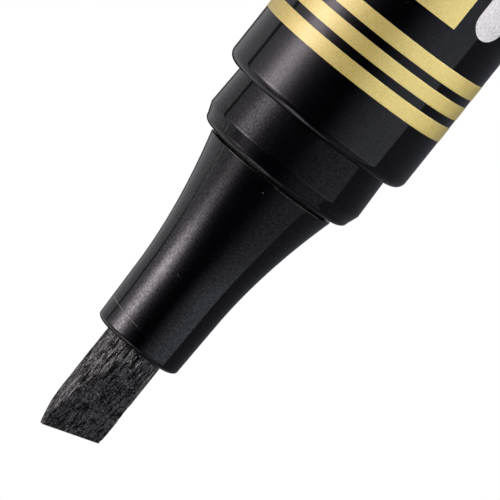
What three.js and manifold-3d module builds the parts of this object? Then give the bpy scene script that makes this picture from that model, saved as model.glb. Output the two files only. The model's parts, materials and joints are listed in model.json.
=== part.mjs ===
// A calligraphy marker with a broad chisel nib, standing nib up on its cap, which is pushed onto the tail.
// Millimetres, +Z up along the pen's axis. The origin is the centre of the cap's flat end.
import * as THREE from "three";
import { mergeVertices } from "three/addons/utils/BufferGeometryUtils.js";
import Module from "manifold-3d";

const wasm = await Module();
wasm.setup();

// ---------- driving dimensions ----------
const pressGap = 0.03; // between pieces pressed into each other
const slideGap = 0.06; // between the cap and what it slides onto
const restGap = 0.05; // between faces that only meet when pushed together

const barrelRadius = 6;
const barrelLength = 84;
const barrelWall = 0.85;
const barrelMouthRound = 0.62;

const seatLength = 3.53; // of the front collar, outside the barrel
const seatRelief = 0.09; // the seat is this much slimmer at its root than at its widest
const seatChamferLength = 0.66;
const seatChamferDrop = 0.25;
const seatCornerLength = 0.4;
const seatCornerDrop = 0.6;
const collarWall = 0.82;
const collarWeb = 1.6;
const collarDepth = 10; // inside the barrel

const grooveWidth = 0.17; // between the collar and the nib holder
const grooveDepth = 0.25;
const sealWall = 0.25;
const sealHeight = 0.5;

const noseLength = 12;
const noseBaseInset = 0.14; // from the collar's front edge to the nose's widest
const noseWall = 0.79;
const noseDraft = 0.03; // growth of the radius for each millimetre back from the mouth
const noseStraight = 3.9;
const noseRoundWidth = 0.74; // of the round end of the nose, which is nearly its whole wall
const noseRoundLength = 0.36;
const flarePower = 1.84;
const noseGripLength = 4.8;
const coreGap = 0.4; // of the hollow round the nib, between its two grips
const holderTailLength = 5.8;
const holderGripLength = 3.6;
const snapHeight = 0.12;
const snapLength = 0.5;

const nibRadius = 1.82;
const nibGap = 0.07;
const nibReach = 6.44; // of the long corner, past the holder's mouth
const nibTailLength = 3.5; // inside the reservoir
const edgeThickness = 0.36; // at the long corner
const edgeSlant = 16.2; // degrees
const chiselHalfAngle = 16; // degrees
const nibTurn = 25; // degrees, of the chisel's front face from -Y towards -X
const cornerTrimWidth = 0.24;
const cornerTrimLength = 1.7;

const filmWall = 0.15;
const filmGap = 0.1;
const filmOverhang = 0.4;

const tailFlange = 2;
const tailFlangeRound = 0.3;
const tailWall = 0.82;
const tailPlugDepth = 8; // inside the barrel
const tailEndGap = 0.9; // from the tail's end to the inner cap
const tailShelf = 0.6; // that the reservoir stands on
const tailFloor = 2;

const capLength = 40;
const capWall = 0.82;
const capDraft = 0.15;
const capRimRound = 0.35;
const capStep = 0.43; // that the inner cap's flange sits on

const crownHeight = 2;
const crownRound = 0.5;
const crownSpigotLength = 5;
const crownWall = 0.8;

const sealDepth = 6.9; // of the inner cap's mouth below the cap's rim
const innerFlange = 1;
const innerWall = 0.6;
const innerFloor = 0.7;
const innerLeadIn = 0.25;
const tipGap = 1.4; // from the nib's tip to the inner cap's floor

const clipWidth = 3.2;
const clipEndWidth = 2.4;
const clipThickness = 0.6;
const clipStandoff = 1.3;
const clipLength = 27;
const clipBend = 0.8;
const clipHook = 1.6;
const clipHookGap = 0.25;
const clipFootGap = 0.15;
const clipFootLength = 5.2;
const clipLip = 0.9;
const clipHeight = 9.5; // of the slot that holds the clip
const slotGap = 0.35;

const sides = 48; // of every turned piece
const arcSteps = 4;
const flareSteps = 8;

// ---------- sizes that follow ----------
const barrelBore = barrelRadius - barrelWall;
const sleeveRadius = barrelBore - pressGap;
const seatEndRadius = sleeveRadius - seatChamferDrop - seatCornerDrop;
const noseBaseRadius = seatEndRadius - noseBaseInset;
const capBore = sleeveRadius + slideGap;
const capRadius = capBore + capWall;
const capInnerBore = capBore - capStep;
const nibBore = nibRadius + nibGap;
const noseRadius = nibBore + noseWall;
const holderTailRadius = noseBaseRadius - grooveDepth - sealWall - pressGap;
const collarBore = holderTailRadius + pressGap;
const skirtBore = sleeveRadius - collarWall;
const filmRadius = skirtBore - filmGap;
const coreRadius = filmRadius - filmWall - pressGap;

const tailZ = capLength; // underside of the tail's flange
const barrelZ = tailZ + tailFlange;
const mouthZ = barrelZ + barrelLength; // the barrel's open front
const collarFrontZ = mouthZ + seatLength;
const holderZ = collarFrontZ + grooveWidth;
const noseZ = holderZ + noseLength;
const tipZ = noseZ + nibReach;
const holderTailZ = collarFrontZ - collarWeb - holderTailLength;
const coreTopZ = holderTailZ - restGap;
const sealRimZ = capLength - sealDepth;
const pivotRadius = capRadius - capWall / 2;

// ---------- helpers ----------

// Points on an ellipse's arc round (r, z), from one angle to another, in degrees.
function arc(r, z, radiusR, radiusZ, from, to, steps = arcSteps) {
  const points = [];
  for (let i = 0; i <= steps; i++) {
    const a = THREE.MathUtils.degToRad(from + ((to - from) * i) / steps);
    points.push([r + radiusR * Math.cos(a), z + radiusZ * Math.sin(a)]);
  }
  return points;
}

// A solid turned round Z from [radius, z] points that run anticlockwise, starting and ending on the axis.
function turned(points) {
  const profile = points.map(([r, z]) => new THREE.Vector2(r, z));
  return new THREE.LatheGeometry(profile, sides).rotateX(Math.PI / 2);
}

// The same for a ring, whose outline closes on itself.
function turnedRing(points) {
  return turned([...points, points[0]]);
}

function material(color, roughness, metalness) {
  return new THREE.MeshStandardMaterial({ color, roughness, metalness });
}

function piece(name, geometry, look) {
  const mesh = new THREE.Mesh(geometry, look);
  mesh.name = name;
  return mesh;
}

function toSolid(geometry) {
  const bare = geometry.clone();
  bare.deleteAttribute("normal");
  bare.deleteAttribute("uv");
  const merged = mergeVertices(bare, 1e-4);
  const mesh = new wasm.Mesh({
    numProp: 3,
    vertProperties: merged.attributes.position.array,
    triVerts: new Uint32Array(merged.index.array),
  });
  return new wasm.Manifold(mesh);
}

function toGeometry(solid) {
  const mesh = solid.getMesh();
  const geometry = new THREE.BufferGeometry();
  geometry.setAttribute("position", new THREE.BufferAttribute(mesh.vertProperties, 3));
  geometry.setIndex(new THREE.BufferAttribute(mesh.triVerts, 1));
  geometry.computeVertexNormals();
  return geometry;
}

// A plate of constant depth, centred on the plane of its outline. The outline is in X and Z, and the depth
// runs along Y.
function plate(outline, depth) {
  const shape = new THREE.Shape(outline.map(([x, z]) => new THREE.Vector2(x, z)));
  const geometry = new THREE.ExtrudeGeometry(shape, { depth, bevelEnabled: false });
  return geometry.translate(0, 0, -depth / 2).rotateX(Math.PI / 2);
}

// Radius of the nose at a distance back from its mouth: a slight draft, then a flare to the collar's width.
function noseRadiusAt(back) {
  const flare = noseBaseRadius - noseRadius - noseDraft * noseLength;
  const along = Math.max(0, back - noseStraight) / (noseLength - noseStraight);
  return noseRadius + noseDraft * back + flare * along ** flarePower;
}

// Outline of a seat for the cap's mouth, from its root at z to its end: it widens a little, then a chamfer
// and a round corner lead the cap on. Direction is 1 up or -1 down.
function capSeat(z, length, direction) {
  const cornerZ = z + direction * (length - seatCornerLength);
  const chamferZ = cornerZ - direction * seatChamferLength;
  return [
    [sleeveRadius - seatRelief, z],
    [sleeveRadius, chamferZ],
    ...arc(seatEndRadius, cornerZ, seatCornerDrop, direction * seatCornerLength, 0, 90),
  ];
}

// ---------- front of the pen ----------

function barrel() {
  return turnedRing([
    [barrelBore, barrelZ],
    [barrelRadius, barrelZ],
    ...arc(
      barrelRadius - barrelMouthRound,
      mouthZ - barrelMouthRound,
      barrelMouthRound,
      barrelMouthRound,
      0,
      90,
    ),
    [barrelBore, mouthZ],
  ]);
}

function frontCollar() {
  const webZ = collarFrontZ - collarWeb;
  const pocketRadius = collarBore + sealWall;
  const pocketZ = holderZ - sealHeight - restGap;
  return turnedRing([
    [skirtBore, mouthZ - collarDepth],
    [sleeveRadius, mouthZ - collarDepth],
    [sleeveRadius, mouthZ - barrelMouthRound],
    ...capSeat(mouthZ, seatLength, 1),
    [pocketRadius + pressGap, collarFrontZ],
    [pocketRadius + pressGap, pocketZ],
    [collarBore, pocketZ],
    [collarBore, webZ],
    [skirtBore, webZ],
  ]);
}

function collarSeal() {
  const top = holderZ - restGap / 2;
  return turnedRing([
    [collarBore, top - sealHeight],
    [collarBore + sealWall, top - sealHeight],
    [collarBore + sealWall, top],
    [collarBore, top],
  ]);
}

function nibHolder() {
  const snapZ = collarFrontZ - collarWeb - restGap;
  const hollow = nibBore + coreGap;
  const flare = [];
  for (let i = 0; i < flareSteps; i++) {
    const back = noseLength + ((noseStraight - noseLength) * i) / flareSteps;
    flare.push([noseRadiusAt(back), noseZ - back]);
  }
  return turnedRing([
    [nibBore, holderTailZ],
    [holderTailRadius, holderTailZ],
    [holderTailRadius, snapZ - snapLength],
    [holderTailRadius + snapHeight, snapZ - pressGap],
    [holderTailRadius + snapHeight, snapZ],
    [holderTailRadius, snapZ],
    [holderTailRadius, holderZ],
    ...flare,
    [noseRadiusAt(noseStraight), noseZ - noseStraight],
    ...arc(
      noseRadiusAt(noseRoundLength) - noseRoundWidth,
      noseZ - noseRoundLength,
      noseRoundWidth,
      noseRoundLength,
      0,
      90,
    ),
    [nibBore, noseZ],
    [nibBore, noseZ - noseGripLength],
    [hollow, noseZ - noseGripLength - coreGap],
    [hollow, holderTailZ + holderGripLength + coreGap],
    [nibBore, holderTailZ + holderGripLength],
  ]);
}

// The felt rod, cut to a chisel by two flats and by a slanted end. It is made with the chisel facing -Y.
function nib() {
  const bottom = coreTopZ - nibTailLength;
  const beyond = nibRadius + 1;
  const rod = turned([
    [0, bottom],
    [nibRadius, bottom],
    [nibRadius, tipZ],
    [0, tipZ],
  ]);
  const slope = Math.tan(THREE.MathUtils.degToRad(chiselHalfAngle));
  const half = edgeThickness / 2;
  const flatLength = (beyond - half) / slope;
  const flats = plate(
    [
      [-beyond, bottom - 1],
      [beyond, bottom - 1],
      [beyond, tipZ - flatLength],
      [half, tipZ],
      [-half, tipZ],
      [-beyond, tipZ - flatLength],
    ],
    2 * beyond,
  ).rotateZ(Math.PI / 2);
  const slant = Math.tan(THREE.MathUtils.degToRad(edgeSlant));
  const trimX = nibRadius - cornerTrimWidth;
  const end = plate(
    [
      [-beyond, bottom - 1],
      [nibRadius, bottom - 1],
      [nibRadius, tipZ - cornerTrimLength],
      [trimX, tipZ],
      [-beyond, tipZ - slant * (beyond + trimX)],
    ],
    2 * beyond,
  );
  const cut = toSolid(rod).intersect(toSolid(flats)).intersect(toSolid(end));
  return toGeometry(cut).rotateZ(THREE.MathUtils.degToRad(-nibTurn));
}

// ---------- ink supply ----------

function inkReservoir() {
  const socket = nibRadius + nibGap;
  const socketZ = coreTopZ - nibTailLength - restGap;
  return turned([
    [0, barrelZ + restGap],
    [coreRadius, barrelZ + restGap],
    [coreRadius, coreTopZ],
    [socket, coreTopZ],
    [socket, socketZ],
    [0, socketZ],
  ]);
}

function reservoirFilm() {
  const low = barrelZ + restGap;
  const high = coreTopZ - filmOverhang;
  return turnedRing([
    [filmRadius - filmWall, low],
    [filmRadius, low],
    [filmRadius, high],
    [filmRadius - filmWall, high],
  ]);
}

// ---------- tail ----------

// A stopper, open inside: its flange closes the barrel and its slimmer end carries the cap.
function tailPlug() {
  const endZ = sealRimZ + tailEndGap;
  const flangeRadius = barrelRadius;
  const shelfRadius = filmRadius - tailShelf;
  const seat = capSeat(tailZ, tailZ - endZ, -1).reverse();
  return turned([
    [0, endZ],
    ...seat,
    [flangeRadius - tailFlangeRound, tailZ],
    [flangeRadius, tailZ + tailFlangeRound],
    [flangeRadius, barrelZ],
    [sleeveRadius, barrelZ],
    [sleeveRadius, barrelZ + tailPlugDepth],
    [sleeveRadius - tailWall, barrelZ + tailPlugDepth],
    [sleeveRadius - tailWall, barrelZ],
    [shelfRadius, barrelZ],
    [shelfRadius, endZ + tailFloor],
    [0, endZ + tailFloor],
  ]);
}

// ---------- cap ----------

function capTube() {
  const rimZ = capLength - restGap;
  const stepZ = sealRimZ - innerFlange;
  const tube = turnedRing([
    [capInnerBore, crownHeight],
    [capRadius - capDraft, crownHeight],
    ...arc(capRadius - capRimRound, rimZ - capRimRound, capRimRound, capRimRound, 0, 90, 3),
    [capBore + slideGap, rimZ],
    [capBore, rimZ - capRimRound],
    [capBore, stepZ],
    [capInnerBore, stepZ],
  ]);
  const slot = new THREE.BoxGeometry(
    clipWidth + 2 * slotGap,
    3 * capWall,
    clipThickness + 2 * slotGap,
  ).translate(0, -pivotRadius, clipHeight);
  return toGeometry(toSolid(tube).subtract(toSolid(slot)));
}

function capCrown() {
  const outer = capRadius - capDraft;
  const spigot = capInnerBore - pressGap;
  return turned([
    [0, 0],
    ...arc(outer - crownRound, crownRound, crownRound, crownRound, -90, 0, 3),
    [outer, crownHeight],
    [spigot, crownHeight],
    [spigot, crownHeight + crownSpigotLength],
    [spigot - crownWall, crownHeight + crownSpigotLength],
    [spigot - crownWall, crownHeight],
    [0, crownHeight],
  ]);
}

// The cup that seals round the nose when the cap is on the front.
function innerCap() {
  const bore = noseRadiusAt(noseLength - (sealDepth - seatLength - grooveWidth)) + restGap;
  const flangeZ = sealRimZ - innerFlange;
  const floorZ = capLength - (tipZ - mouthZ) - tipGap;
  return turned([
    [0, floorZ - innerFloor],
    [bore + innerWall, floorZ - innerFloor],
    [bore + innerWall, flangeZ],
    [capBore - pressGap, flangeZ],
    [capBore - pressGap, sealRimZ],
    [bore + innerLeadIn, sealRimZ],
    [bore, sealRimZ - innerLeadIn],
    [bore, floorZ],
    [0, floorZ],
  ]);
}

// ---------- pocket clip ----------

// Closed outline of a strip of constant thickness along a line of points.
function ribbon(line, thickness) {
  const left = [];
  const right = [];
  line.forEach((point, i) => {
    const before = line[Math.max(0, i - 1)];
    const after = line[Math.min(line.length - 1, i + 1)];
    const along = after.clone().sub(before).normalize();
    const across = new THREE.Vector2(-along.y, along.x).multiplyScalar(thickness / 2);
    left.push(point.clone().add(across));
    right.push(point.clone().sub(across));
  });
  return [...left, ...right.reverse()].map((p) => [p.x, p.y]);
}

// A bent strip: a hook inside the cap, a tab through the slot, the arm, and a foot that presses on the cap.
// The line is drawn in the outward direction and Z.
function pocketClip() {
  const inside = Math.sqrt(capInnerBore ** 2 - (clipWidth / 2) ** 2);
  const hook = inside - clipHookGap - clipThickness / 2;
  const arm = capRadius + clipStandoff + clipThickness / 2;
  const foot = capRadius + clipFootGap + clipThickness / 2;
  const top = clipHeight + clipLength;
  const footZ = top - clipFootLength / 2;
  const line = new THREE.Path();
  line.moveTo(hook, clipHeight - clipHook);
  line.lineTo(hook, clipHeight - clipBend);
  line.quadraticCurveTo(hook, clipHeight, hook + clipBend, clipHeight);
  line.lineTo(arm - clipBend, clipHeight);
  line.quadraticCurveTo(arm, clipHeight, arm, clipHeight + clipBend);
  line.lineTo(arm, top - 2 * clipFootLength);
  line.bezierCurveTo(
    arm,
    top - 1.5 * clipFootLength,
    foot,
    footZ - clipFootLength / 2,
    foot,
    footZ,
  );
  line.quadraticCurveTo(foot, top - clipLip, foot + clipLip, top);
  const side = plate(ribbon(line.getPoints(6), clipThickness), clipWidth).rotateZ(-Math.PI / 2);
  const endRadius = clipEndWidth / 2;
  const front = plate(
    [
      [-clipWidth / 2, clipHeight - 2 * clipHook],
      [clipWidth / 2, clipHeight - 2 * clipHook],
      [clipWidth / 2, clipHeight + clipBend],
      ...arc(0, top - endRadius, endRadius, endRadius, 0, 180, 2 * arcSteps),
      [-clipWidth / 2, clipHeight + clipBend],
    ],
    4 * capRadius,
  );
  return toGeometry(toSolid(side).intersect(toSolid(front)));
}

// ---------- assembly ----------
const gloss = material(0x08080a, 0.22, 0);
const satin = material(0x0b0b0d, 0.3, 0);
const felt = material(0x1b1b1d, 0.95, 0);
const fibre = material(0x2a2a33, 0.95, 0);
const film = material(0xd8dde2, 0.3, 0);
const rubber = material(0x050505, 0.7, 0);
const white = material(0xe6e6e2, 0.5, 0);
const gilt = material(0xc9a94f, 0.3, 1);

const pen = new THREE.Group();
pen.add(piece("barrel", barrel(), gloss));
pen.add(piece("front_collar", frontCollar(), satin));
pen.add(piece("collar_seal", collarSeal(), rubber));
pen.add(piece("nib_holder", nibHolder(), satin));
pen.add(piece("nib", nib(), felt));
pen.add(piece("ink_reservoir", inkReservoir(), fibre));
pen.add(piece("reservoir_film", reservoirFilm(), film));
pen.add(piece("tail_plug", tailPlug(), gloss));

const cap = new THREE.Group();
cap.add(piece("cap_tube", capTube(), gloss));
cap.add(piece("cap_crown", capCrown(), gloss));
cap.add(piece("inner_cap", innerCap(), white));
cap.add(piece("pocket_clip", pocketClip(), gilt));

const marker = new THREE.Group();
marker.add(pen, cap);
export default marker;
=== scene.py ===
"""Looks of a calligraphy marker that stands nib up on its posted cap. Metres, +Z towards the nib."""

import json
import math

import bmesh
import bpy
from mathutils import Matrix, Vector, noise

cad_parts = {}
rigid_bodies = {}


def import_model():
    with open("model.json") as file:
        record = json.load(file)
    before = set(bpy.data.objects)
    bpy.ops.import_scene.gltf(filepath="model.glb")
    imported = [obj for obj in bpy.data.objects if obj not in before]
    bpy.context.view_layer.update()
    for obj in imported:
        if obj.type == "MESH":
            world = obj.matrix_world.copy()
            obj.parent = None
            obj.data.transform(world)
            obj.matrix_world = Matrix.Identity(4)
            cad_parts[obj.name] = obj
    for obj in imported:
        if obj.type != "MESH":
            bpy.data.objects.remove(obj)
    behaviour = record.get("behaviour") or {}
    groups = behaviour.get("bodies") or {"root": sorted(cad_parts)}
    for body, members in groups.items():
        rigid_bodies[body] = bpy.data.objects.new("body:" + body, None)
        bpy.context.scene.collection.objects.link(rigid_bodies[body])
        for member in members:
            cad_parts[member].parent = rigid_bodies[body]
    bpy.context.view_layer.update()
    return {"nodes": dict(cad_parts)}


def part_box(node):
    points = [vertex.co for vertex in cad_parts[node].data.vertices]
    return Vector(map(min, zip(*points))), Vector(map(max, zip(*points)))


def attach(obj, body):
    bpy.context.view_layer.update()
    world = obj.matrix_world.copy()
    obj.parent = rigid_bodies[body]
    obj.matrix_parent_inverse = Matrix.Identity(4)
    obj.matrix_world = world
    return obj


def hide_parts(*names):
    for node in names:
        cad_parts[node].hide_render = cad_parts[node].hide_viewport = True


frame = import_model()
nodes = frame["nodes"]

MM = 0.001
SIDES = 192  # of every turned piece


# ---------- places and sizes from the frame ----------

def reach(node):
    """Radius, lowest and highest z of a turned node."""
    low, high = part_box(node)
    return high.x, low.z, high.z


BARREL_R, BARREL_LOW, BARREL_HIGH = reach("barrel")
COLLAR_R, COLLAR_LOW, COLLAR_HIGH = reach("front_collar")
NOSE_BASE_R, HOLDER_LOW, NOSE_HIGH = reach("nib_holder")
NIB_R, NIB_LOW, NIB_TIP = reach("nib")
_, PLUG_LOW, PLUG_HIGH = reach("tail_plug")
CAP_R, CAP_LOW, CAP_HIGH = reach("cap_tube")
CROWN_R, CROWN_LOW, CROWN_HIGH = reach("cap_crown")
LINER_R, LINER_LOW, LINER_HIGH = reach("inner_cap")
SEAL_R, SEAL_LOW, SEAL_HIGH = reach("collar_seal")
CLIP_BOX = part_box("pocket_clip")

PRESS_GAP = 0.03 * MM  # between pieces pressed into each other
SLIDE_GAP = 0.06 * MM  # between the cap and what it slides onto
REST_GAP = 0.05 * MM  # between faces that only meet when pushed together
SEAM_ROUND = 0.1 * MM  # of edges that meet another piece

INK_HEIGHT = 0.015 * MM  # that the printed layers stand above the lacquer
INK_ROOT = 0.01 * MM  # that they reach into it
SKIN_R = BARREL_R - INK_HEIGHT
BARREL_WALL = 0.835 * MM
MOUTH_ROUND = 0.62 * MM
LIP_ROUND = 0.02 * MM  # of the mouth's inner edge

SEAT_RELIEF = 0.09 * MM
SEAT_CHAMFER = (0.25 * MM, 0.66 * MM)  # drop in radius, length
SEAT_CORNER = (0.6 * MM, 0.4 * MM)
SLEEVE_WALL = 0.82 * MM  # of the collar and of the tail plug, inside the barrel
COLLAR_WEB = 1.6 * MM
SEAL_WALL = 0.25 * MM

NOSE_BASE_Z = SEAL_HIGH + 0.025 * MM  # the holder's shoulder, just above the seal
NOSE_WALL = 0.79 * MM
NOSE_DRAFT = 0.03  # growth of the radius for each length back from the mouth
NOSE_STRAIGHT = 3.9 * MM
NOSE_ROUND = (0.74 * MM, 0.36 * MM)  # width and length of its round end
NOSE_GRIP = 4.8 * MM  # length of the nib's grip at the mouth
HOLDER_GRIP = 3.6 * MM  # and of the one at the holder's inner end
CORE_GAP = 0.4 * MM  # of the hollow round the nib, between its two grips
FLARE_POWER = 1.84
NIB_GAP = 0.07 * MM

CHISEL_HALF = 0.18 * MM  # half the thickness of the writing edge
CHISEL_SLOPE = math.tan(math.radians(16))
CHISEL_TURN = math.radians(25)  # of the long corner, from +X towards -Y
EDGE_SLANT = math.tan(math.radians(16.2))
TRIM = (0.24 * MM, 1.7 * MM)  # width and length of the long corner's trim

CAP_BORE = COLLAR_R + SLIDE_GAP
CAP_INNER_BORE = CAP_BORE - 0.43 * MM  # below the step that the liner's flange sits on
CAP_RIM_ROUND = 0.33 * MM
CAP_LEAD_IN = (0.25 * MM, 0.35 * MM)  # width and length
LINER_WALL = 0.6 * MM
LINER_FLANGE = 1 * MM
LINER_FLOOR = 0.7 * MM
LINER_DEPTH = 6.9 * MM  # of its mouth below the cap's rim
CROWN_WALL = 0.8 * MM

CLIP_THICK = 0.6 * MM
CLIP_HALF = 1.6 * MM  # half its width at the slot
CLIP_END_HALF = 1.2 * MM  # and at its free end
CLIP_BEND = 0.8 * MM
CLIP_HOOK = 1.6 * MM
CLIP_LENGTH = 27 * MM
CLIP_FOOT = (0.15 * MM, 5.2 * MM)  # gap to the cap, length
CLIP_LIP = 0.9 * MM
SLOT_Z = CLIP_BOX[0].z + CLIP_HOOK
SLOT_HALF_HEIGHT = 0.62 * MM
SLOT_STEPS = 10  # half its width, in steps of the turned tube


# ---------- mesh helpers ----------

def arc(r, z, radius_r, radius_z, start, end, steps=10):
    """Points on an ellipse's arc round (r, z), from one angle to another in degrees."""
    angles = [math.radians(start + (end - start) * i / steps) for i in range(steps + 1)]
    return [(r + radius_r * math.cos(a), z + radius_z * math.sin(a)) for a in angles]


def eased(corners, steps=5):
    """An outline whose corners (r, z, ease) are cut back by that length and rounded."""
    points = []
    for i, (r, z, *ease) in enumerate(corners):
        here = Vector((r, z))
        if not ease or i in (0, len(corners) - 1):
            points.append((r, z))
            continue
        before = Vector(corners[i - 1][:2])
        after = Vector(corners[i + 1][:2])
        start = here + (before - here).normalized() * ease[0]
        end = here + (after - here).normalized() * ease[0]
        for k in range(steps + 1):
            t = k / steps
            p = start * (1 - t) ** 2 + here * 2 * t * (1 - t) + end * t * t
            points.append((p.x, p.y))
    return points


def finished(name, bm, sharp=30):
    """A scene object from a bmesh, shaded smooth except at edges sharper than an angle in degrees."""
    bmesh.ops.recalc_face_normals(bm, faces=bm.faces)
    mesh = bpy.data.meshes.new(name)
    bm.to_mesh(mesh)
    bm.free()
    mesh.shade_smooth()
    mesh.set_sharp_from_angle(angle=math.radians(sharp))
    obj = bpy.data.objects.new(name, mesh)
    bpy.context.scene.collection.objects.link(obj)
    return obj


def ring_at(bm, r, z):
    """A ring of vertices round Z, or one vertex if it is on the axis."""
    if r < 1e-9:
        return [bm.verts.new((0, 0, z))]
    turn = 2 * math.pi / SIDES
    return [bm.verts.new((r * math.cos(i * turn), r * math.sin(i * turn), z)) for i in range(SIDES)]


def join_rings(bm, a, b):
    """Faces between two rings, either of which may be a single vertex."""
    count = max(len(a), len(b))
    for i in range(count):
        j = (i + 1) % count
        corners = [a[i % len(a)], a[j % len(a)], b[j % len(b)], b[i % len(b)]]
        distinct = [v for k, v in enumerate(corners) if v not in corners[:k]]
        bm.faces.new(distinct)


def turned_bmesh(outline):
    """Turns (r, z) points round Z. An outline off the axis is closed on itself."""
    bm = bmesh.new()
    rings = [ring_at(bm, r, z) for r, z in outline]
    on_axis = len(rings[0]) == 1 and len(rings[-1]) == 1
    for a, b in zip(rings, rings[1:] if on_axis else rings[1:] + rings[:1]):
        join_rings(bm, a, b)
    return bm


def held(outline, hold=0.05 * MM):
    """The outline with extra points near the ends of its long runs, which keep the shading straight."""
    shortest = 5 * hold
    points = []
    for a, b in zip(outline, outline[1:] + outline[:1]):
        points.append(a)
        start, end = Vector(a), Vector(b)
        length = (end - start).length
        if length > shortest:
            points += [tuple(start.lerp(end, hold / length)), tuple(end.lerp(start, hold / length))]
    if outline[0][0] == 0 and outline[-1][0] == 0:
        del points[len(points) - 1 - points[::-1].index(outline[-1]) + 1 :]
    return points


def turned(name, outline, sharp=30):
    return finished(name, turned_bmesh(held(outline)), sharp)


def placed(obj, body, material, slot, *replaced):
    """Gives a piece its material and body, and hides the CAD nodes that it stands for. The slot argument
    is not used.
    """
    obj.data.materials.clear()
    obj.data.materials.append(material)
    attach(obj, body)
    if replaced:
        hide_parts(*replaced)
    return obj


# ---------- material helpers ----------

class Nodes:
    """Short calls that build a node tree."""

    def __init__(self, tree):
        self.tree = tree

    def add(self, kind, **values):
        node = self.tree.nodes.new(kind)
        for key, value in values.items():
            setattr(node, key, value)
        return node

    def link(self, output, target):
        self.tree.links.new(output, target)

    def split(self, vector):
        """The x, y and z of a vector."""
        node = self.add("ShaderNodeSeparateXYZ")
        self.link(vector, node.inputs[0])
        return node.outputs

    def math(self, operation, *values):
        node = self.add("ShaderNodeMath", operation=operation)
        for socket, value in zip(node.inputs, values):
            if isinstance(value, (int, float)):
                socket.default_value = value
            else:
                self.link(value, socket)
        return node.outputs["Value"]

    def blend(self, a, a_share, b, b_share):
        """The sum of two values, each times its share."""
        return self.math("ADD", self.math("MULTIPLY", a, a_share), self.math("MULTIPLY", b, b_share))

    def ranged(self, value, span, result=(0.0, 1.0)):
        """Carries a value smoothly from one span to another, and holds it beyond the ends."""
        node = self.add("ShaderNodeMapRange", interpolation_type="SMOOTHSTEP")
        sockets = ("From Min", "From Max", "To Min", "To Max")
        for socket, number in zip(sockets, (*span, *result)):
            node.inputs[socket].default_value = number
        self.link(value, node.inputs["Value"])
        return node.outputs["Result"]


class Look(Nodes):
    """A Principled material with procedural detail. Its grains and bump depths are in millimetres."""

    def __init__(self, name, color, roughness, metallic=0.0, sockets=None):
        self.material = bpy.data.materials.new(name)
        self.material.use_nodes = True
        super().__init__(self.material.node_tree)
        self.shader = self.tree.nodes["Principled BSDF"]
        self.shader.inputs["Base Color"].default_value = (*color, 1)
        self.shader.inputs["Roughness"].default_value = roughness
        self.shader.inputs["Metallic"].default_value = metallic
        for socket, value in (sockets or {}).items():
            self.shader.inputs[socket].default_value = value
        self.coords = self.add("ShaderNodeTexCoord").outputs["Object"]
        self.normal = None

    def noise(self, grain, stretch=(1, 1, 1), detail=4.0, rough=0.55, distortion=0.0):
        """Noise whose cells are about grain across, and longer by stretch along each axis."""
        mapping = self.add("ShaderNodeMapping")
        mapping.inputs["Scale"].default_value = [1 / (MM * grain * s) for s in stretch]
        self.link(self.coords, mapping.inputs["Vector"])
        texture = self.add("ShaderNodeTexNoise")
        texture.inputs["Scale"].default_value = 1.0
        texture.inputs["Detail"].default_value = detail
        texture.inputs["Roughness"].default_value = rough
        texture.inputs["Distortion"].default_value = distortion
        self.link(mapping.outputs["Vector"], texture.inputs["Vector"])
        return texture.outputs["Fac"]

    def colors(self, value, *stops):
        """Colours the shader's base by a value, from (position, colour) stops."""
        ramp = self.add("ShaderNodeValToRGB")
        elements = ramp.color_ramp.elements
        while len(elements) < len(stops):
            elements.new(0.5)
        for element, (position, color) in zip(elements, stops):
            element.position = position
            element.color = (*color, 1)
        self.link(value, ramp.inputs["Fac"])
        self.link(ramp.outputs["Color"], self.shader.inputs["Base Color"])

    def roughness(self, value, span, result):
        self.link(self.ranged(value, span, result), self.shader.inputs["Roughness"])

    def specular(self, value, span, result):
        self.link(self.ranged(value, span, result), self.shader.inputs["Specular IOR Level"])

    def bump(self, height, depth):
        """Adds a bump of that depth on top of the ones before it."""
        node = self.add("ShaderNodeBump")
        node.inputs["Distance"].default_value = depth * MM
        node.inputs["Strength"].default_value = 1.0
        self.link(height, node.inputs["Height"])
        if self.normal:
            self.link(self.normal, node.inputs["Normal"])
        self.normal = node.outputs["Normal"]
        self.link(self.normal, self.shader.inputs["Normal"])


def black_plastic(name, shine, haze, grain, ior=1.5):
    """Moulded black plastic, with handling haze, dust, and hairline scratches along the pen.

    Its roughness runs from shine to haze. Its speckle takes the specular level up and down by grain.
    """
    look = Look(name, (0.0022, 0.0022, 0.0032), shine, sockets={"IOR": ior})
    smear = look.noise(2.4, (1, 1, 3), detail=6, rough=0.6, distortion=0.4)
    scratches = look.noise(0.13, (1, 1, 22), detail=3, rough=0.5)
    speckle = look.noise(0.11, detail=2, rough=0.6)
    dust = look.ranged(look.noise(0.5, detail=3, rough=0.8), (0.7, 0.74))
    look.colors(
        look.math("ADD", look.blend(smear, 0.4, speckle, 0.35), dust),
        (0.28, (0.0016, 0.0016, 0.0026)),
        (0.48, (0.0036, 0.0036, 0.0048)),
        (1.0, (0.03, 0.03, 0.03)),
    )
    scratched = look.math("ADD", smear, look.ranged(scratches, (0.6, 0.8), (0.0, 0.35)))
    look.roughness(scratched, (0.4, 0.95), (shine, haze))
    look.specular(speckle, (0.3, 0.7), (0.5 - grain, 0.5 + grain))
    waves = look.noise(1.3, detail=2)
    look.bump(waves, 0.004)
    look.bump(scratches, 0.0012)
    return look


# ---------- materials ----------

barrel_look = black_plastic("barrel_black", shine=0.06, haze=0.12, grain=0.1)
front_look = black_plastic("front_black", shine=0.075, haze=0.16, grain=0.2, ior=1.43)
turning_marks = front_look.noise(0.06, (1e4, 1e4, 1), detail=3, rough=0.7)
front_look.bump(turning_marks, 0.0008)


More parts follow.
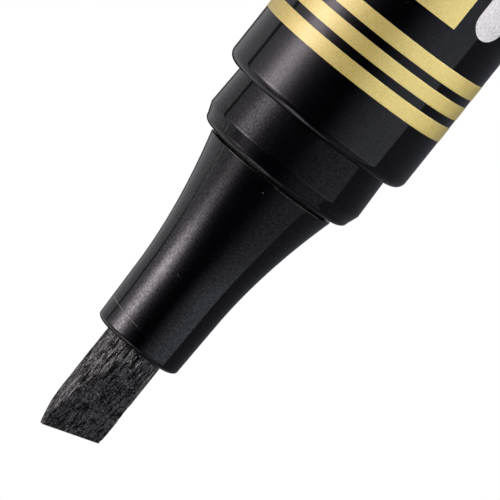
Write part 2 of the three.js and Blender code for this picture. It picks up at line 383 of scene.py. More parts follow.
def parting_line_and_painted_glint(look, depth, width, tilt, point_z):
    """A fine raised line left by the mould, where a slanted plane cuts the piece, with a painted
    highlight: a pale colour along it. It fades towards -X, away from the key light's side.

    Its depth is in millimetres, and its width and place are in metres.
    """
    x, _, z = look.split(look.coords)
    offset = look.math("SUBTRACT", look.math("ADD", z, look.math("MULTIPLY", x, tilt)), point_z)
    ridge_and_painted_glint = look.ranged(look.math("ABSOLUTE", offset), (0, width), (1, 0))
    # The raised line and its painted highlight both fade towards -X, away from the key light.
    ridge_and_painted_glint = look.math("MULTIPLY", ridge_and_painted_glint, look.ranged(x, (0.2 * MM, 1.2 * MM), (0.1, 1)))
    look.bump(ridge_and_painted_glint, depth)
    ramp = look.shader.inputs["Base Color"].links[0].from_node
    plain = ramp.inputs["Fac"].links[0].from_socket
    look.link(look.math("ADD", plain, ridge_and_painted_glint), ramp.inputs["Fac"])
    # The lightest colour serves both the dust specks and the painted highlight along the mould line.
    ramp.color_ramp.elements[-1].color = (0.13, 0.12, 0.11, 1)


nose_look = black_plastic("nose_black", shine=0.075, haze=0.16, grain=0.2)
parting_line_and_painted_glint(nose_look, depth=0.003, width=0.06 * MM, tilt=0.14, point_z=NOSE_HIGH - 1.13 * MM)


def printed_metal(name, dark, mid, light, grain):
    """Metallic ink: flakes give a mottled colour and a soft, grainy gloss."""
    coat = {"Coat Weight": 0.7, "Coat IOR": 2.1, "Coat Roughness": 0.34}
    look = Look(name, mid, 0.5, metallic=0.7, sockets=coat)
    flakes = look.noise(grain, detail=5, rough=0.75)
    patches = look.noise(0.8, (1, 1, 1.6), detail=3)
    look.colors(look.blend(flakes, 0.9, patches, 0.1), (0.36, dark), (0.5, mid), (0.66, light))
    look.roughness(flakes, (0.3, 0.7), (0.5, 0.64))
    look.bump(flakes, 0.004)
    return look


gold_look = printed_metal(
    "gold_ink",
    dark=(0.6, 0.47, 0.11),
    mid=(0.77, 0.62, 0.165),
    light=(0.87, 0.74, 0.26),
    grain=0.075,
)
silver_look = printed_metal(
    "silver_ink",
    dark=(0.48, 0.46, 0.48),
    mid=(0.72, 0.7, 0.72),
    light=(0.92, 0.9, 0.92),
    grain=0.12,
)


def felt():
    """Bonded fibre, wet with black ink: streaks along the rod, and a sheen where the ink has dried. The
    darkest streaks are partly the ink's own tone and partly painted shade in the gaps between fibres.
    They grow stronger up the rod towards the holder, as painted shade under the nose's mouth.
    """
    look = Look("inked_felt", (0.02, 0.02, 0.022), 0.5, sockets={"IOR": 1.7})
    fibres = look.noise(0.16, (1, 1, 9), detail=3, rough=0.6, distortion=0.5)
    grains = look.noise(0.085, detail=3, rough=0.6)
    streaks_and_painted_gaps = look.math("SUBTRACT", look.blend(fibres, 0.55, grains, 0.45), 0.5)
    _, _, height = look.split(look.coords)
    rod_to_tip = (NIB_TIP - 5 * MM, NIB_TIP - 2 * MM)
    # Stronger streaks towards the holder: painted shade under the nose's mouth.
    streak_gain_and_painted_shade = look.ranged(height, rod_to_tip, (1.6, 1.0))
    ink = look.math("ADD", look.math("MULTIPLY", streaks_and_painted_gaps, streak_gain_and_painted_shade), 0.5)
    # Darkest stop: painted shade in the gaps between fibres, together with the ink's own tone.
    look.colors(
        ink,
        (0.41, (0.0004, 0.0004, 0.0006)),
        (0.48, (0.005, 0.0044, 0.0052)),
        (0.57, (0.05, 0.044, 0.045)),
    )
    look.specular(ink, (0.41, 0.57), (0.07, 0.85))
    look.roughness(grains, (0.3, 0.75), (0.28, 0.44))
    look.bump(look.noise(0.2, (1, 1, 9), detail=1), 0.11)
    look.bump(look.noise(0.1, detail=1), 0.025)
    return look


felt_look = felt()


def clip_metal():
    """Gold-coloured metal, brushed along the clip and worn in patches."""
    look = Look("gilt_clip", (0.82, 0.61, 0.27), 0.28, metallic=1.0)
    brushing = look.noise(0.03, (1, 1, 60), detail=3)
    wear = look.noise(1.5, detail=5, rough=0.6)
    look.colors(wear, (0.35, (0.76, 0.55, 0.22)), (0.65, (0.86, 0.66, 0.32)))
    look.roughness(wear, (0.3, 0.8), (0.26, 0.38))
    look.bump(brushing, 0.0015)
    return look


clip_look = clip_metal()


def liner_plastic():
    """Natural polyethylene, a little cloudy."""
    look = Look("liner_polyethylene", (0.8, 0.8, 0.76), 0.4, sockets={"Subsurface Weight": 0.1})
    cloud = look.noise(1.2, detail=4)
    look.colors(cloud, (0.3, (0.74, 0.74, 0.7)), (0.7, (0.84, 0.84, 0.81)))
    look.roughness(cloud, (0.3, 0.7), (0.34, 0.5))
    look.bump(look.noise(0.2, detail=3), 0.006)
    return look


liner_look = liner_plastic()


def rubber():
    """Matt black rubber with some dust."""
    look = Look("seal_rubber_black", (0.006, 0.006, 0.006), 0.6)
    dust = look.noise(0.3, detail=5)
    look.colors(dust, (0.4, (0.004, 0.004, 0.004)), (0.75, (0.016, 0.016, 0.016)))
    look.roughness(dust, (0.3, 0.7), (0.5, 0.75))
    look.bump(look.noise(0.05), 0.004)
    return look


rubber_look = rubber()


def reservoir_fibre():
    """Inked fibres that run along the pen."""
    look = Look("reservoir_fibre_inked", (0.03, 0.03, 0.045), 0.8)
    strands = look.noise(0.08, (1, 1, 40), detail=5)
    look.colors(strands, (0.35, (0.01, 0.01, 0.016)), (0.65, (0.06, 0.06, 0.08)))
    look.roughness(strands, (0.3, 0.7), (0.6, 0.9))
    look.bump(strands, 0.03)
    return look


def film():
    """Thin plastic film with lengthwise creases."""
    look = Look("film_clear_wrap", (0.72, 0.75, 0.78), 0.16)
    creases = look.noise(0.8, (1, 1, 6), detail=5, distortion=0.6)
    look.colors(creases, (0.3, (0.66, 0.69, 0.72)), (0.7, (0.8, 0.82, 0.85)))
    look.roughness(creases, (0.3, 0.7), (0.12, 0.3))
    look.bump(creases, 0.03)
    return look


def finish_hidden(node, look):
    """Gives a CAD node that isn't rebuilt its material."""
    mesh = nodes[node].data
    mesh.materials.clear()
    mesh.materials.append(look.material)


finish_hidden("ink_reservoir", reservoir_fibre())
finish_hidden("reservoir_film", film())


# ---------- front of the pen ----------

def barrel():
    bore = BARREL_R - BARREL_WALL
    mouth = arc(SKIN_R - MOUTH_ROUND, BARREL_HIGH - MOUTH_ROUND, MOUTH_ROUND, MOUTH_ROUND, 0, 90, 16)
    lip = arc(bore + LIP_ROUND, BARREL_HIGH - LIP_ROUND, LIP_ROUND, LIP_ROUND, 90, 180, 3)
    foot = eased([(bore, BARREL_LOW), (SKIN_R, BARREL_LOW, SEAM_ROUND), (SKIN_R, BARREL_LOW + MM)])
    return turned("barrel_shell", foot + mouth + lip)


def seat(z, length, up):
    """The cap's seat: widens from its root, then a chamfer and a round corner. up is 1 or -1."""
    corner_z = z + up * (length - SEAT_CORNER[1])
    chamfer_z = corner_z - up * SEAT_CHAMFER[1]
    end_r = COLLAR_R - SEAT_CHAMFER[0] - SEAT_CORNER[0]
    corner = arc(end_r, corner_z, SEAT_CORNER[0], up * SEAT_CORNER[1], 0, 90, 12)
    root = (COLLAR_R - SEAT_RELIEF, z)
    ease = 0.07 * MM
    arris = eased([root, (COLLAR_R, chamfer_z, ease), corner[0]])
    return arris[:-1] + corner


def front_collar():
    skirt_r = COLLAR_R - SLEEVE_WALL
    bore = SEAL_R - SEAL_WALL
    web_z = COLLAR_HIGH - COLLAR_WEB
    pocket_r = SEAL_R + PRESS_GAP
    pocket_z = SEAL_LOW - PRESS_GAP
    ease = 0.05 * MM
    pocket_edge = [
        (pocket_r + 4 * ease, COLLAR_HIGH),
        (pocket_r, COLLAR_HIGH, ease),
        (pocket_r, pocket_z),
    ]
    outline = [
        (skirt_r, COLLAR_LOW),
        (COLLAR_R, COLLAR_LOW),
        (COLLAR_R, BARREL_HIGH - MOUTH_ROUND),
        *seat(BARREL_HIGH, COLLAR_HIGH - BARREL_HIGH, 1),
        *eased(pocket_edge),
        (bore, pocket_z),
        (bore, web_z),
        (skirt_r, web_z),
    ]
    return turned("collar_seat", outline)


def collar_seal():
    half_wall, half_height = SEAL_WALL / 2, (SEAL_HIGH - SEAL_LOW) / 2
    middle = (SEAL_R - half_wall, SEAL_LOW + half_height)
    steps = 48
    last = 360 - 360 / steps
    return turned("seal_ring", arc(*middle, half_wall, half_height, 0, last, steps - 1))


def nose_radius(back):
    """Radius of the nose at a distance back from its mouth: a slight draft, then the flare."""
    length = NOSE_HIGH - NOSE_BASE_Z
    mouth_r = NIB_R + NIB_GAP + NOSE_WALL
    flare = NOSE_BASE_R - mouth_r - NOSE_DRAFT * length
    along = max(0.0, back - NOSE_STRAIGHT) / (length - NOSE_STRAIGHT)
    return mouth_r + NOSE_DRAFT * back + flare * along**FLARE_POWER


def nib_holder():
    length = NOSE_HIGH - NOSE_BASE_Z
    bore = NIB_R + NIB_GAP
    tail_r = SEAL_R - SEAL_WALL - PRESS_GAP
    hollow = bore + CORE_GAP
    edge, lip_round = 0.06 * MM, 0.03 * MM
    steps = 64
    first_back = length - edge
    backs = [first_back - (first_back - NOSE_ROUND[1]) * i / steps for i in range(steps + 1)]
    flare = [(nose_radius(b), NOSE_HIGH - b) for b in backs]
    base = eased([(tail_r, NOSE_BASE_Z), (NOSE_BASE_R, NOSE_BASE_Z, edge), flare[0]])
    lip_r = flare[-1][0] - NOSE_ROUND[0]
    outline = [
        (bore, HOLDER_LOW),
        (tail_r, HOLDER_LOW),
        *base[:-1],
        *flare,
        *arc(lip_r, NOSE_HIGH - NOSE_ROUND[1], *NOSE_ROUND, 0, 90, 24)[1:],
        *arc(bore + lip_round, NOSE_HIGH - lip_round, lip_round, lip_round, 90, 180, 4),
        (bore, NOSE_HIGH - NOSE_GRIP),
        (hollow, NOSE_HIGH - NOSE_GRIP - CORE_GAP),
        (hollow, HOLDER_LOW + HOLDER_GRIP + CORE_GAP),
        (bore, HOLDER_LOW + HOLDER_GRIP),
    ]
    return turned("nose_cone", outline)


# ---------- nib ----------

NIB_SIDES = 288
NIB_RINGS = 190  # of the felt that is cut in detail
SOCKET_RINGS = 8  # of the plain rod below it
END_SHARES = (0.985, 0.95, 0.88, 0.8, 0.7, 0.6, 0.5, 0.4, 0.3, 0.2, 0.1)  # of the radius, on the end
RIM_SHARE = 0.97  # beyond which the end stays smooth
HIDDEN_TOP = NOSE_HIGH - 1.0 * MM  # of the plain rod, inside the nose
LONG_WAY = Vector((math.cos(CHISEL_TURN), -math.sin(CHISEL_TURN), 0))  # towards the long corner
ACROSS = Vector((math.sin(CHISEL_TURN), math.cos(CHISEL_TURN), 0))
ARRIS_POWER = 26  # the higher, the crisper the arrises
GROUND_DEPTH = 0.12 * MM  # of a cut at which it counts as ground all through
FIBRE_DEPTH = 0.13 * MM
GRAIN_DEPTH = 0.035 * MM
FELT_BASE, FELT_SWING = 0.15, 1.2  # of those depths: always cut, and added by the noise
TINY = 1e-6


def chisel_radius(angle, z):
    """Radius of the cut rod in a direction, and how far a ground flat rules there, from 0 to 1."""
    down = NIB_TIP - z
    flat = (CHISEL_HALF + down * CHISEL_SLOPE) / max(abs(math.sin(angle)), TINY)
    trimmed = NIB_R - TRIM[0] * max(0.0, 1 - down / TRIM[1])
    side = trimmed / max(math.cos(angle), TINY)
    total = sum((NIB_R / r) ** ARRIS_POWER for r in (NIB_R, flat, side) if r < 3 * NIB_R)
    ground = min(1.0, max(0.0, (NIB_R - flat) / GROUND_DEPTH))
    return NIB_R * total ** (-1 / ARRIS_POWER), ground


def edge_z(along):
    """Height of the slanted end at a distance towards the long corner."""
    return NIB_TIP - EDGE_SLANT * (NIB_R - TRIM[0] - along)


def cells(p, across, along):
    """Noise at a point in millimetres, with so many cells a millimetre across the pen and along it."""
    return noise.noise(Vector((p.x * across, p.y * across, p.z * along)))


def felt_depth(p, ground):
    """How deep the felt's surface lies below the smooth rod: fibres along it, grains on the flats."""
    q = p / MM
    fibre = cells(q, 5, 0.9) + 0.5 * cells(q, 12, 2)
    grain = cells(q, 7, 7) + 0.6 * cells(q, 15, 15)
    lengthwise = FIBRE_DEPTH * (FELT_BASE + FELT_SWING * fibre)
    granular = GRAIN_DEPTH * (FELT_BASE + FELT_SWING * grain)
    return max(0.0, lengthwise * (1 - 0.75 * ground) + granular * ground)


def outward(angle):
    """The direction at an angle from the long corner's side."""
    return LONG_WAY * math.cos(angle) + ACROSS * math.sin(angle)


def felt_point(angle, share, z_share):
    """A point at a share of the cut rod's radius, and at a share of the way up to its slanted end."""
    top = edge_z(0)
    for _ in range(3):  # since the end's height and the radius depend on each other
        z = HIDDEN_TOP + (top - HIDDEN_TOP) * z_share
        radius, ground = chisel_radius(angle, z)
        top = edge_z(radius * math.cos(angle) * share)
    z = HIDDEN_TOP + (top - HIDDEN_TOP) * z_share
    p = outward(angle) * radius * share + Vector((0, 0, z))
    on_side = share == 1
    deep = felt_depth(p, ground if on_side else 1.0)
    fade = min(1.0, max(0.0, (p.z - HIDDEN_TOP) / (0.5 * MM)))  # smooth where the plain rod begins
    crisp = min(1.0, 0.25 + (top - p.z) / (0.3 * MM))  # shallower at the writing edge
    if on_side:
        p -= outward(angle) * deep * fade * crisp
    elif share < RIM_SHARE:
        p.z -= deep
    return p


def nib():
    bm = bmesh.new()
    angles = [i * 2 * math.pi / NIB_SIDES for i in range(NIB_SIDES)]

    def rod_ring(z):
        return [bm.verts.new(outward(a) * NIB_R + Vector((0, 0, z))) for a in angles]

    def felt_ring(share, z_share):
        return [bm.verts.new(felt_point(a, share, z_share)) for a in angles]

    rings = [rod_ring(NIB_LOW + (HIDDEN_TOP - NIB_LOW) * i / SOCKET_RINGS) for i in range(SOCKET_RINGS)]
    rings += [felt_ring(1, k / NIB_RINGS) for k in range(NIB_RINGS + 1)]
    rings += [felt_ring(share, 1) for share in END_SHARES]
    for a, b in zip(rings, rings[1:]):
        join_rings(bm, a, b)
    for ring, z in ((rings[0], NIB_LOW), (rings[-1], edge_z(0))):
        join_rings(bm, ring, [bm.verts.new((0, 0, z))])
    return finished("felt_nib", bm, sharp=70)


# ---------- prints ----------

def band(name, back_low, back_high):
    """A printed ring between two distances back from the barrel's front."""
    low, high = BARREL_HIGH - back_high, BARREL_HIGH - back_low
    middle = (low + high) / 2
    edge = 0.008 * MM
    inner = SKIN_R - INK_ROOT
    outline = eased(
        [
            (inner, middle),
            (inner, low),
            (BARREL_R, low, edge),
            (BARREL_R, high, edge),
            (inner, high),
            (inner, middle),
        ],
        steps=2,
    )
    return turned(name, outline[:-1], sharp=60)


def patch(name, rows, columns):
    """A closed printed layer on the barrel, from rows of (z, first angle, last angle)."""
    bm = bmesh.new()

    def grid(radius):
        lines = []
        for z, first, last in rows:
            angles = [first + (last - first) * c / columns for c in range(columns + 1)]
            points = [(radius * math.sin(a), -radius * math.cos(a), z) for a in angles]
            lines.append([bm.verts.new(p) for p in points])
        return lines

    def skin(lines):
        for a, b in zip(lines, lines[1:]):
            for c in range(columns):
                bm.faces.new((a[c], a[c + 1], b[c + 1], b[c]))

    def rim(lines):
        up_side = [line[-1] for line in lines[1:]]
        down_side = [line[0] for line in lines[-2:0:-1]]
        return lines[0] + up_side + lines[-1][-2::-1] + down_side

    low_grid, high_grid = grid(SKIN_R - INK_ROOT), grid(BARREL_R)
    skin(low_grid)
    skin(high_grid)
    join_rings(bm, rim(low_grid), rim(high_grid))
    bmesh.ops.remove_doubles(bm, verts=bm.verts, dist=1e-7)
    return finished(name, bm, sharp=60)


def panel_rows(z_low, z_high, first, last, count=24):
    return [(z_low + (z_high - z_low) * i / count, first, last) for i in range(count + 1)]


def bar_rows(z_low, z_high, middle, half_angle, steps=12):
    """Rows of a bar with round ends. Its end radius is its half width on the barrel."""
    radius = half_angle * BARREL_R
    blunt = 3  # degrees of the end's arc that are left out, so that the first row has a width
    rows = []
    for i in range(steps + 1):
        a = math.radians(blunt + (90 - blunt) * i / steps)
        aside = half_angle * math.sin(a)
        rows.append((z_low + radius * (1 - math.cos(a)), middle - aside, middle + aside))
    top = [(z_low + z_high - z, first, last) for z, first, last in reversed(rows)]
    return rows + top


# ---------- tail and cap ----------

def tail_plug():
    sleeve_r = COLLAR_R
    flange_low = CAP_HIGH + REST_GAP
    flange_round = 0.25 * MM
    skirt_r = sleeve_r - SLEEVE_WALL
    shelf_r = skirt_r - 0.7 * MM
    floor_z = PLUG_LOW + 2 * MM
    flange = eased(
        [
            (COLLAR_R - SEAT_RELIEF, flange_low),
            (SKIN_R, flange_low, flange_round),
            (SKIN_R, BARREL_LOW, SEAM_ROUND),
            (sleeve_r, BARREL_LOW),
        ]
    )
    outline = [
        (0, PLUG_LOW),
        *reversed(seat(flange_low, flange_low - PLUG_LOW, -1)),
        *flange[1:],
        (sleeve_r, PLUG_HIGH),
        (skirt_r, PLUG_HIGH),
        (skirt_r, BARREL_LOW),
        (shelf_r, BARREL_LOW),
        (shelf_r, floor_z),
        (0, floor_z),
    ]
    return turned("tail_stopper", outline)


def cap_tube():
    """The cap's tube, with the slot that the clip's tab goes through cut out of both walls."""
    foot_r = CROWN_R
    step_z = LINER_HIGH - LINER_FLANGE
    grow = (CAP_R - foot_r) / (CAP_HIGH - CAP_LOW)
    slot_low, slot_high = SLOT_Z - SLOT_HALF_HEIGHT, SLOT_Z + SLOT_HALF_HEIGHT
    foot = eased([(CAP_INNER_BORE, CAP_LOW), (foot_r, CAP_LOW, SEAM_ROUND), (foot_r, CAP_LOW + MM)])
    rim = eased(
        [
            (CAP_R, CAP_HIGH - MM),
            (CAP_R, CAP_HIGH, CAP_RIM_ROUND),
            (CAP_BORE + CAP_LEAD_IN[0], CAP_HIGH, 0.08 * MM),
            (CAP_BORE, CAP_HIGH - CAP_LEAD_IN[1], SEAM_ROUND),
            (CAP_BORE, CAP_HIGH - MM),
        ]
    )
    outline = [
        (CAP_INNER_BORE, CAP_LOW),
        *foot[1:-1],
        (foot_r + grow * (slot_low - CAP_LOW), slot_low),
        (foot_r + grow * (slot_high - CAP_LOW), slot_high),
        *rim[1:-1],
        (CAP_BORE, step_z),
        (CAP_INNER_BORE, step_z),
        (CAP_INNER_BORE, slot_high),
        (CAP_INNER_BORE, slot_low),
    ]
    bm = turned_bmesh(outline)
    half_angle = SLOT_STEPS * 2 * math.pi / SIDES

    def in_slot(face):
        c = face.calc_center_median()
        return abs(c.z - SLOT_Z) < SLOT_HALF_HEIGHT * 0.9 and abs(math.atan2(c.x, -c.y)) < half_angle

    window = [f for f in bm.faces if in_slot(f)]
    rims = {e for f in window for e in f.edges if not all(in_slot(g) for g in e.link_faces)}
    bmesh.ops.delete(bm, geom=window, context="FACES")
    bmesh.ops.bridge_loops(bm, edges=[e for e in rims if e.is_valid])
    return finished("cap_shell", bm)


def cap_crown():
    spigot = CAP_INNER_BORE - PRESS_GAP
    bore = spigot - CROWN_WALL
    flat_r = CROWN_R - 1.2 * MM
    outline = eased(
        [
            (0, CROWN_LOW),
            (flat_r, CROWN_LOW, 0.05 * MM),
            (CROWN_R, CROWN_LOW, 0.5 * MM),
            (CROWN_R, CAP_LOW, SEAM_ROUND),
            (spigot, CAP_LOW),
            (spigot, CROWN_HIGH, 0.15 * MM),
            (bore, CROWN_HIGH, 0.15 * MM),
            (bore, CAP_LOW, 0.2 * MM),
            (0, CAP_LOW),
        ],
        steps=8,
    )
    return turned("crown_plug", outline)


def inner_cap():
    """The liner, whose mouth fits round the nose when the cap is on the front of the pen."""
    nose_length = NOSE_HIGH - NOSE_BASE_Z
    back = nose_length - (LINER_DEPTH - (NOSE_BASE_Z - BARREL_HIGH))
    bore = nose_radius(back) + REST_GAP
    outer = bore + LINER_WALL
    flange_z = LINER_HIGH - LINER_FLANGE
    floor_z = LINER_LOW + LINER_FLOOR
    outline = eased(
        [
            (0, LINER_LOW),
            (outer, LINER_LOW, 0.4 * MM),
            (outer, flange_z, 0.1 * MM),
            (LINER_R, flange_z, 0.1 * MM),
            (LINER_R, LINER_HIGH, 0.15 * MM),
            (bore, LINER_HIGH, 0.3 * MM),
            (bore, floor_z, 0.5 * MM),
            (0, floor_z),
        ]
    )
    return turned("liner_cup", outline)


# ---------- pocket clip ----------

def curve(*controls, steps=12):
    """Points on a Bezier curve, without its start."""
    points = []
    for i in range(1, steps + 1):
        level = [Vector(c) for c in controls]
        t = i / steps
        while len(level) > 1:
            level = [a.lerp(b, t) for a, b in zip(level, level[1:])]
        points.append(level[0])
    return points


def run(a, b, steps):
    """Points on a straight line, without its start."""
    return [Vector(a).lerp(Vector(b), i / steps) for i in range(1, steps + 1)]


def clip_line():
    """Centre line of the clip's strip as (outward, z) points: hook, tab, arm, foot and lip."""
    foot_gap, foot_length = CLIP_FOOT
    hook = -CLIP_BOX[1].y + CLIP_THICK / 2
    arm = -CLIP_BOX[0].y - CLIP_THICK / 2
    foot = CAP_R + foot_gap + CLIP_THICK / 2
    top = SLOT_Z + CLIP_LENGTH
    foot_z = top - foot_length / 2
    points = [Vector((hook, SLOT_Z - CLIP_HOOK))]
    points += run(points[-1], (hook, SLOT_Z - CLIP_BEND), 2)
    points += curve((hook, SLOT_Z - CLIP_BEND), (hook, SLOT_Z), (hook + CLIP_BEND, SLOT_Z))
    points += run((hook + CLIP_BEND, SLOT_Z), (arm - CLIP_BEND, SLOT_Z), 3)
    points += curve((arm - CLIP_BEND, SLOT_Z), (arm, SLOT_Z), (arm, SLOT_Z + CLIP_BEND))
    points += run((arm, SLOT_Z + CLIP_BEND), (arm, top - 2 * foot_length), 10)
    points += curve(
        (arm, top - 2 * foot_length),
        (arm, top - 1.5 * foot_length),
        (foot, foot_z - foot_length / 2),
        (foot, foot_z),
        steps=24,
    )
    points += curve((foot, foot_z), (foot, top - CLIP_LIP), (foot + CLIP_LIP, top), steps=24)
    return points


def clip_half_width(z, top):
    """Half the strip's width: it narrows from the slot to a round end."""
    start_z = SLOT_Z + CLIP_BEND
    share = min(1.0, max(0.0, (z - start_z) / (top - start_z)))
    half = CLIP_HALF + (CLIP_END_HALF - CLIP_HALF) * share
    into_end = max(0.0, z - (top - CLIP_END_HALF)) / CLIP_END_HALF
    blunt = 0.02  # keeps some width at the very end
    return half * math.sqrt(max(blunt, 1 - into_end**2))


def pocket_clip():
    """A strip with rounded edges, swept along the line."""
    line = clip_line()
    corner = 0.13 * MM
    corner_steps = 4
    quarters = ((1, 1, 0), (-1, 1, 90), (-1, -1, 180), (1, -1, 270))  # side, face, first angle
    thick = CLIP_THICK / 2
    bm = bmesh.new()
    rings = []
    for i, p in enumerate(line):
        along = (line[min(i + 1, len(line) - 1)] - line[max(i - 1, 0)]).normalized()
        half = clip_half_width(p.y, line[-1].y)
        round_off = min(corner, half * 0.45)
        section = []
        for side, face, start in quarters:
            for k in range(corner_steps + 1):
                a = math.radians(start + 90 / corner_steps * k)
                u = side * (half - round_off) + round_off * math.cos(a)
                v = face * (thick - round_off) + round_off * math.sin(a)
                out = p.x - along.y * v
                z = p.y + along.x * v
                section.append(bm.verts.new((u, -out, z)))
        rings.append(section)
    for a, b in zip(rings, rings[1:]):
        join_rings(bm, a, b)
    bm.faces.new(rings[0])
    bm.faces.new(rings[-1])
    return finished("clip_strip", bm, sharp=40)


# ---------- assembly ----------

placed(barrel(), "pen", barrel_look.material, "barrel_gloss", "barrel")
placed(front_collar(), "pen", front_look.material, "front_satin", "front_collar")
placed(collar_seal(), "pen", rubber_look.material, "seal_rubber", "collar_seal")
placed(nib_holder(), "pen", nose_look.material, "front_satin", "nib_holder")
placed(nib(), "pen", felt_look.material, "nib_felt", "nib")
placed(tail_plug(), "pen", barrel_look.material, "barrel_gloss", "tail_plug")
placed(cap_tube(), "cap", barrel_look.material, "cap_gloss", "cap_tube")
placed(cap_crown(), "cap", barrel_look.material, "cap_gloss", "cap_crown")
placed(inner_cap(), "cap", liner_look.material, "liner_white", "inner_cap")
placed(pocket_clip(), "clip", clip_look.material, "clip_gilt", "pocket_clip")

BANDS = ((3.53, 4.49), (5.01, 5.89), (6.39, 7.34))  # millimetres back from the barrel's front
PANEL = (9.15 * MM, 62 * MM)  # its ends, back from the barrel's front
PANEL_HALF = math.radians(28)  # half its width, round the barrel
BAR = (9.52 * MM, 56 * MM)
BAR_MIDDLE, BAR_HALF = math.radians(-46), math.radians(10.7)

for number, (near, far) in enumerate(BANDS, 1):
    placed(band(f"gold_band_{number}", near * MM, far * MM), "pen", gold_look.material, "gold_print")

panel = patch(
    "gold_panel",
    panel_rows(BARREL_HIGH - PANEL[1], BARREL_HIGH - PANEL[0], -PANEL_HALF, PANEL_HALF),
    columns=32,
)
placed(panel, "pen", gold_look.material, "gold_print")
bar = patch(
    "silver_bar",
    bar_rows(BARREL_HIGH - BAR[1], BARREL_HIGH - BAR[0], BAR_MIDDLE, BAR_HALF),
    columns=16,
)
placed(bar, "pen", silver_look.material, "silver_print")


# ---------- studio ----------

def floor():
    """A plain pale floor, just under the pen. A glow that only the camera sees makes it paler."""
    bm = bmesh.new()
    half_size, drop = 6, 0.05 * MM
    place = Matrix.Translation((0, 0, -drop))
    bmesh.ops.create_grid(bm, x_segments=1, y_segments=1, size=half_size, matrix=place)
    obj = finished("studio_floor", bm)
    look = Look("studio_floor_pale", (0.82, 0.82, 0.81), 0.7, sockets={"Specular IOR Level": 0.0})
    look.shader.inputs["Emission Color"].default_value = (1.0, 1.0, 1.0, 1)
    grain = look.noise(4.0, detail=3)
    look.colors(grain, (0.3, (0.8, 0.8, 0.79)), (0.7, (0.84, 0.84, 0.83)))
    seen = look.add("ShaderNodeLightPath").outputs["Is Camera Ray"]
    look.link(look.math("MULTIPLY", seen, 0.42), look.shader.inputs["Emission Strength"])
    obj.data.materials.append(look.material)


class Sky(Nodes):
    """The studio's light as a sphere of soft boxes, by azimuth (from -Y towards +X) and elevation.

    Angles are in degrees.
    """

    def __init__(self):
        world = bpy.data.worlds.new("studio")
        bpy.context.scene.world = world
        world.use_nodes = True
        super().__init__(world.node_tree)
        self.tree.nodes.clear()
        x, y, z = self.split(self.add("ShaderNodeTexCoord").outputs["Generated"])
        turn = self.math("ARCTAN2", x, self.math("MULTIPLY", y, -1))
        self.azimuth = self.math("MULTIPLY", turn, math.degrees(1))
        self.elevation = self.math("MULTIPLY", self.math("ARCSINE", z), math.degrees(1))
        self.total = None

    def bell(self, value, middle, width):
        scaled = self.math("DIVIDE", self.math("SUBTRACT", value, middle), width)
        squared = self.math("MULTIPLY", scaled, scaled)
        return self.math("EXPONENT", self.math("MULTIPLY", squared, -0.5))

    def background(self, tint):
        node = self.add("ShaderNodeBackground")
        node.inputs["Color"].default_value = (*tint, 1)
        return node

    def joined(self, kind, first, second):
        """A shader node over two other shaders."""
        node = self.add(kind)
        shaders = [socket for socket in node.inputs if socket.type == "SHADER"]
        self.link(first, shaders[0])
        self.link(second, shaders[1])
        return node

    def light(self, tint, strength, *factors):
        """Adds a light of that tint, whose strength is the product of the factors."""
        product = strength
        for factor in factors:
            product = self.math("MULTIPLY", product, factor)
        background = self.background(tint)
        self.link(product, background.inputs["Strength"])
        shader = background.outputs[0]
        if self.total is not None:
            shader = self.joined("ShaderNodeAddShader", self.total, shader).outputs[0]
        self.total = shader

    def finish(self, backdrop):
        """The camera itself sees a plain backdrop instead of the lights."""
        plain = self.background(backdrop)
        seen = self.joined("ShaderNodeMixShader", self.total, plain.outputs[0])
        self.link(self.add("ShaderNodeLightPath").outputs["Is Camera Ray"], seen.inputs["Fac"])
        self.link(seen.outputs[0], self.add("ShaderNodeOutputWorld").inputs["Surface"])


def light_studio():
    """A tall key light to the front right, screens behind it, to the left and overhead."""
    sky = Sky()
    around, up = sky.azimuth, sky.elevation
    rosy, bluish, plain = (1.0, 0.9, 0.97), (0.95, 0.98, 1.14), (1.0, 0.98, 1.02)
    under_top = sky.ranged(up, (80, 66))

    low_glow = sky.math("MULTIPLY", sky.bell(up, middle=11, width=6.4), 1.25)
    tall_glow = sky.math("MULTIPLY", sky.ranged(up, (62, 18)), 0.27)
    glow = sky.math("ADD", low_glow, tall_glow)
    key = sky.bell(around, middle=63.5, width=10)
    spill = sky.bell(around, middle=65, width=18)
    hood = sky.bell(around, middle=62, width=22)
    sky.light(rosy, 4.0, key, glow)
    sky.light(rosy, 1.0, spill, glow)
    sky.light(rosy, 1.8, hood, sky.ranged(up, (50, 68)))

    back_start, back_end = sky.ranged(around, (106, 109)), sky.ranged(around, (170, 148))
    gap_start, gap_end = sky.ranged(around, (75, 92)), sky.ranged(around, (104, 101))
    seam = sky.bell(around, middle=103.5, width=3)
    sky.light(plain, 0.58, back_start, back_end, under_top)  # back right screen
    sky.light(plain, 0.42, gap_start, gap_end, under_top)  # between the key and that screen
    sky.light(plain, 0.5, seam, sky.ranged(up, (12, 24)), under_top)

    side_glow = sky.math("ADD", sky.math("MULTIPLY", sky.bell(up, middle=10, width=6.5), 0.5), 0.3)
    left = sky.math("MULTIPLY", sky.ranged(around, (-3, -63)), sky.ranged(around, (-89, -86)))
    back_left = sky.ranged(around, (-87, -90))
    sky.light(bluish, 0.95, left, side_glow, sky.ranged(up, (-7, 3)), under_top)
    sky.light(bluish, 0.12, back_left, under_top)
    sky.light(plain, 0.42, sky.ranged(up, (74, 80)))  # overhead screen
    sky.finish(backdrop=(1.0, 1.0, 1.0))


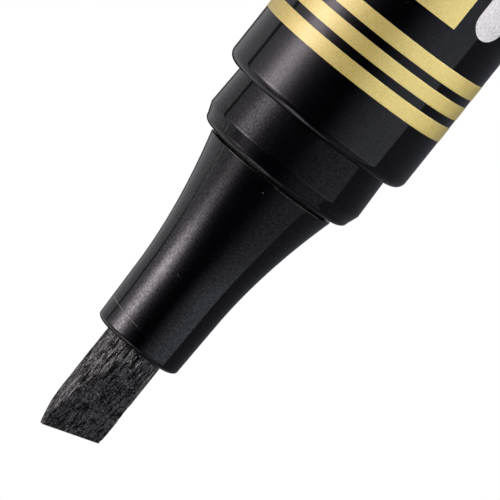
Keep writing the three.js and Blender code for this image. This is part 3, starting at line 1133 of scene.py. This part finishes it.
def low_card(name, start, end, strength, receivers):
    """A glowing card low beside the pen, between two azimuths.

    It shows only in the gloss of its receivers, which brings up the printed and satin parts.
    """
    radius, low, high = 0.3, 0.004, 0.1
    angles = (math.radians(start), math.radians(end))
    places = [Vector((math.sin(a), -math.cos(a), 0)) * radius for a in angles]
    bm = bmesh.new()
    bottom = [bm.verts.new(p + Vector((0, 0, low))) for p in places]
    top = [bm.verts.new(p + Vector((0, 0, high))) for p in places]
    bm.faces.new((bottom[0], bottom[1], top[1], top[0]))
    obj = finished(name, bm)
    look = Look(f"{name}_glow", (0, 0, 0), 1.0, sockets={"Emission Strength": strength})
    look.shader.inputs["Emission Color"].default_value = (1.0, 0.99, 0.97, 1)
    obj.data.materials.append(look.material)
    obj.visible_camera = False
    obj.visible_shadow = False
    obj.visible_diffuse = False
    obj.light_linking.receiver_collection = receivers


def camera():
    """Looks at the pen's front from -Y, a little upwards, and is rolled: the nib is at the lower left."""
    rise = math.radians(5.1)
    axis_angle = math.radians(231.4)  # of the pen's +Z in the picture, anticlockwise from the right
    distance = 600 * MM
    view_width = 27.37 * MM
    aside, ahead = -1.625 * MM, 7.597 * MM  # of the pen's axis and of the barrel's front
    target = Vector((aside, 0, BARREL_HIGH + ahead))
    look = Vector((0, math.cos(rise), math.sin(rise)))
    right, upright = Vector((1, 0, 0)), Vector((0, -math.sin(rise), math.cos(rise)))
    roll_sin, roll_cos = math.cos(axis_angle), math.sin(axis_angle)
    x_axis = right * roll_cos + upright * roll_sin
    y_axis = upright * roll_cos - right * roll_sin
    data = bpy.data.cameras.new("camera")
    data.sensor_width = 36
    data.lens = data.sensor_width * distance / view_width
    data.clip_start, data.clip_end = 0.01, 20
    obj = bpy.data.objects.new("camera", data)
    bpy.context.scene.collection.objects.link(obj)
    rotation = Matrix((x_axis, y_axis, -look)).transposed().to_4x4()
    obj.matrix_world = Matrix.Translation(target - look * distance) @ rotation
    bpy.context.scene.camera = obj


# The cards light these objects and not the floor, so the collection is filled before the floor is made.
pen_and_cap = bpy.data.collections.new("pen_and_cap")
for obj in bpy.context.scene.objects:
    pen_and_cap.objects.link(obj)
floor()
light_studio()
low_card("left_card", start=-14, end=-115, strength=4.2, receivers=pen_and_cap)
low_card("right_card", start=24, end=95, strength=2.3, receivers=pen_and_cap)
camera()
bpy.context.scene.view_settings.view_transform = "Standard"
